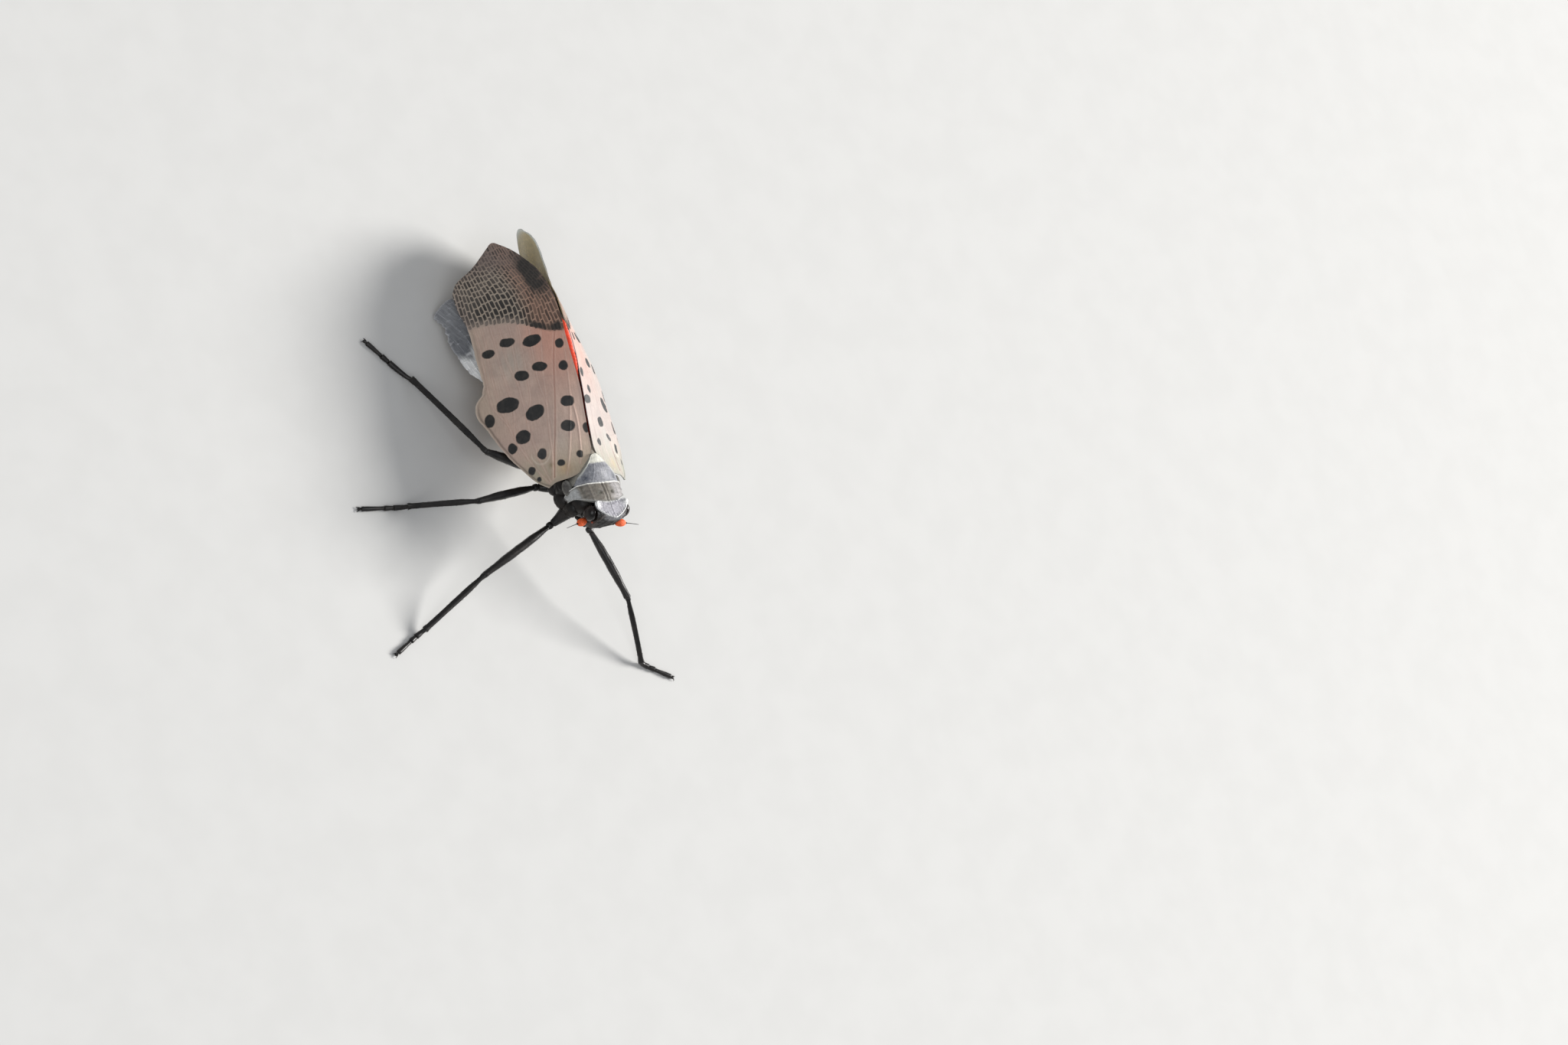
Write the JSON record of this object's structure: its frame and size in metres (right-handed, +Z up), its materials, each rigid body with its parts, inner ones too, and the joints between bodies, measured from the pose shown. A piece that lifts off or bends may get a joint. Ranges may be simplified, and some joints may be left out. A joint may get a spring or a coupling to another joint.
{
  "type": "spotted lanternfly model",
  "caption": "Life-size still model of a resting spotted lanternfly: spotted forewings folded like a roof over the body, slender bent legs standing on the floor.",
  "frame": {"origin": "middle of the bottom face of the bounding box, in the plane of the soles of the feet", "axes": "+Z up, the head points to -Y, the wing tips to +Y, and the insect's left side to +X"},
  "size_m": [0.0264, 0.0384, 0.0102],
  "materials": {
    "forewing": "leathery wing, pinkish tan with black spots and a dark netted tip",
    "hindwing": "thin pleated wing, red at the base, white band, dark blue-grey towards the tip",
    "notum": "grey-brown cuticle with a pale waxy bloom",
    "face": "grey wrinkled top of the head over a black face",
    "cuticle": "black slightly glossy cuticle with fine hairs",
    "eye": "glossy dark faceted eye",
    "antenna": "orange-red granular antenna with a dark bristle",
    "abdomen": "yellow abdomen with broad black bands and a thin waxy bloom",
    "abdomen_tip": "dark red last segments"
  },
  "bodies": {
    "root": {"head": "face", "eye_right": "eye", "eye_left": "eye", "antenna_right": "antenna", "antenna_left": "antenna", "rostrum": "cuticle", "pronotum": "notum", "mesonotum": "notum", "thorax": "cuticle", "abdomen": "abdomen", "abdomen_tip": "abdomen_tip", "forewing_right": "forewing", "forewing_left": "forewing", "hindwing_right": "hindwing", "hindwing_left": "hindwing", "coxa_front_right": "cuticle", "femur_front_right": "cuticle", "tibia_front_right": "cuticle", "tarsus_front_right": "cuticle", "coxa_middle_right": "cuticle", "femur_middle_right": "cuticle", "tibia_middle_right": "cuticle", "tarsus_middle_right": "cuticle", "coxa_hind_right": "cuticle", "femur_hind_right": "cuticle", "tibia_hind_right": "cuticle", "tarsus_hind_right": "cuticle", "coxa_front_left": "cuticle", "femur_front_left": "cuticle", "tibia_front_left": "cuticle", "tarsus_front_left": "cuticle", "coxa_middle_left": "cuticle", "femur_middle_left": "cuticle", "tibia_middle_left": "cuticle", "tarsus_middle_left": "cuticle", "coxa_hind_left": "cuticle", "femur_hind_left": "cuticle", "tibia_hind_left": "cuticle", "tarsus_hind_left": "cuticle"}
  },
  "joints": []
}
